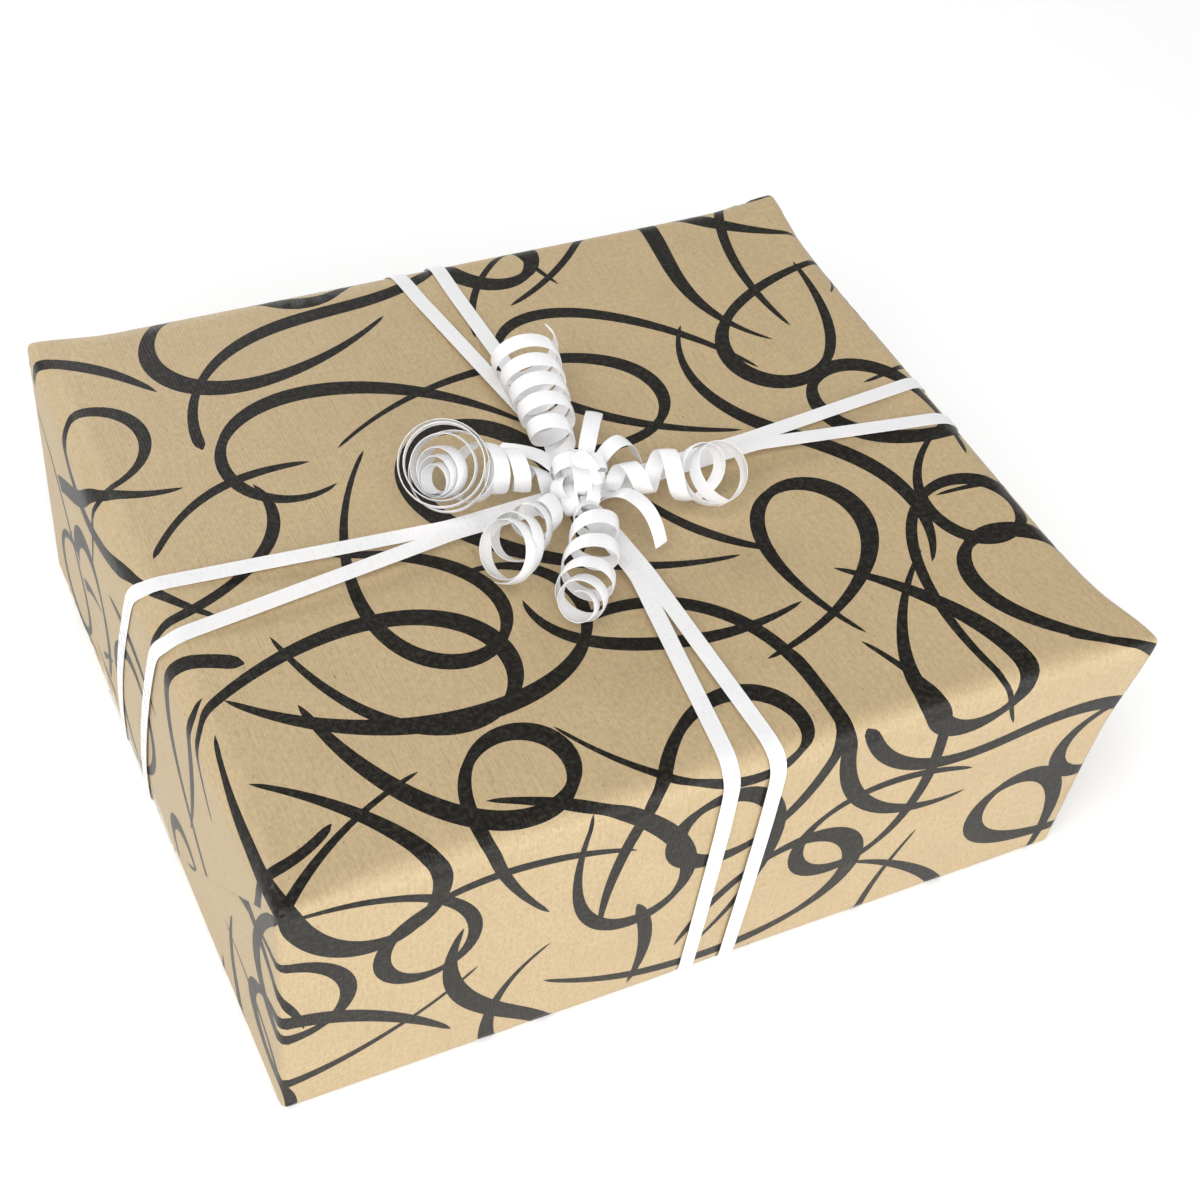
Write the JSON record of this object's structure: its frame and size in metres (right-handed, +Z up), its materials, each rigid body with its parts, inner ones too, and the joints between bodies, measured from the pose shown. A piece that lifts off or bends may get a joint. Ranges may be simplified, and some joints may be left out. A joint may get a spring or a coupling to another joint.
{
  "type": "gift box",
  "caption": "Flat rectangular gift parcel in printed kraft paper, tied both ways with a narrow ribbon whose ends are curled into a bow.",
  "frame": {"origin": "on the ground, under the centre of the wrapped box", "axes": "+X along the box's long side, +Y to its back, +Z up"},
  "size_m": [0.2606, 0.2244, 0.1247],
  "materials": {
    "kraft_paper": "matte, finely ribbed, with a printed line pattern",
    "carton_board": "matte",
    "clear_tape": "satin clear film",
    "ribbon": "satin white film"
  },
  "bodies": {
    "parcel": {"carton_tray": "carton_board", "carton_lid": "carton_board", "wrapping_paper": "kraft_paper", "end_tape_left": "clear_tape", "end_tape_right": "clear_tape", "seam_tape_left": "clear_tape", "seam_tape_middle": "clear_tape", "seam_tape_right": "clear_tape", "ribbon_long_way_rear": "ribbon", "ribbon_long_way_front": "ribbon", "ribbon_short_way_left": "ribbon", "ribbon_short_way_right": "ribbon", "knot": "ribbon"},
    "tail_back": {"tail_back": "ribbon"},
    "tail_left": {"tail_left": "ribbon"},
    "tail_right": {"tail_right": "ribbon"},
    "tail_front_left": {"tail_front_left": "ribbon"},
    "tail_front": {"tail_front": "ribbon"},
    "cut_tail_back": {"cut_tail_back": "ribbon"},
    "cut_tail_right": {"cut_tail_right": "ribbon"},
    "cut_tail_front": {"cut_tail_front": "ribbon"}
  },
  "joints": [
    {"name": "tail_back_lift", "type": "hinge", "parent": "parcel", "child": "tail_back", "pos_m": [-0.005, -0.003, 0.1037], "axis": [0.9597, -0.2809, 0], "range_deg": [0, 35]},
    {"name": "tail_left_lift", "type": "hinge", "parent": "parcel", "child": "tail_left", "pos_m": [-0.0095, -0.006, 0.1037], "axis": [0.3952, 0.9186, 0], "range_deg": [0, 35]},
    {"name": "tail_right_lift", "type": "hinge", "parent": "parcel", "child": "tail_right", "pos_m": [0.0035, -0.01, 0.1037], "axis": [-0.448, -0.894, 0], "range_deg": [0, 35]},
    {"name": "tail_front_left_lift", "type": "hinge", "parent": "parcel", "child": "tail_front_left", "pos_m": [-0.0095, -0.012, 0.1037], "axis": [-0.5989, 0.8008, 0], "range_deg": [0, 35]},
    {"name": "tail_front_lift", "type": "hinge", "parent": "parcel", "child": "tail_front", "pos_m": [-0.004, -0.015, 0.1037], "axis": [-0.9084, 0.4182, 0], "range_deg": [0, 35]},
    {"name": "cut_tail_back_lift", "type": "hinge", "parent": "parcel", "child": "cut_tail_back", "pos_m": [0.002, -0.003, 0.1039], "axis": [0.816, -0.578, 0], "range_deg": [0, 35]},
    {"name": "cut_tail_right_lift", "type": "hinge", "parent": "parcel", "child": "cut_tail_right", "pos_m": [0.0035, -0.006, 0.1039], "axis": [0.2681, -0.9634, 0], "range_deg": [0, 35]},
    {"name": "cut_tail_front_lift", "type": "hinge", "parent": "parcel", "child": "cut_tail_front", "pos_m": [0.002, -0.015, 0.1037], "axis": [-0.8696, -0.4938, 0], "range_deg": [0, 35]}
  ]
}
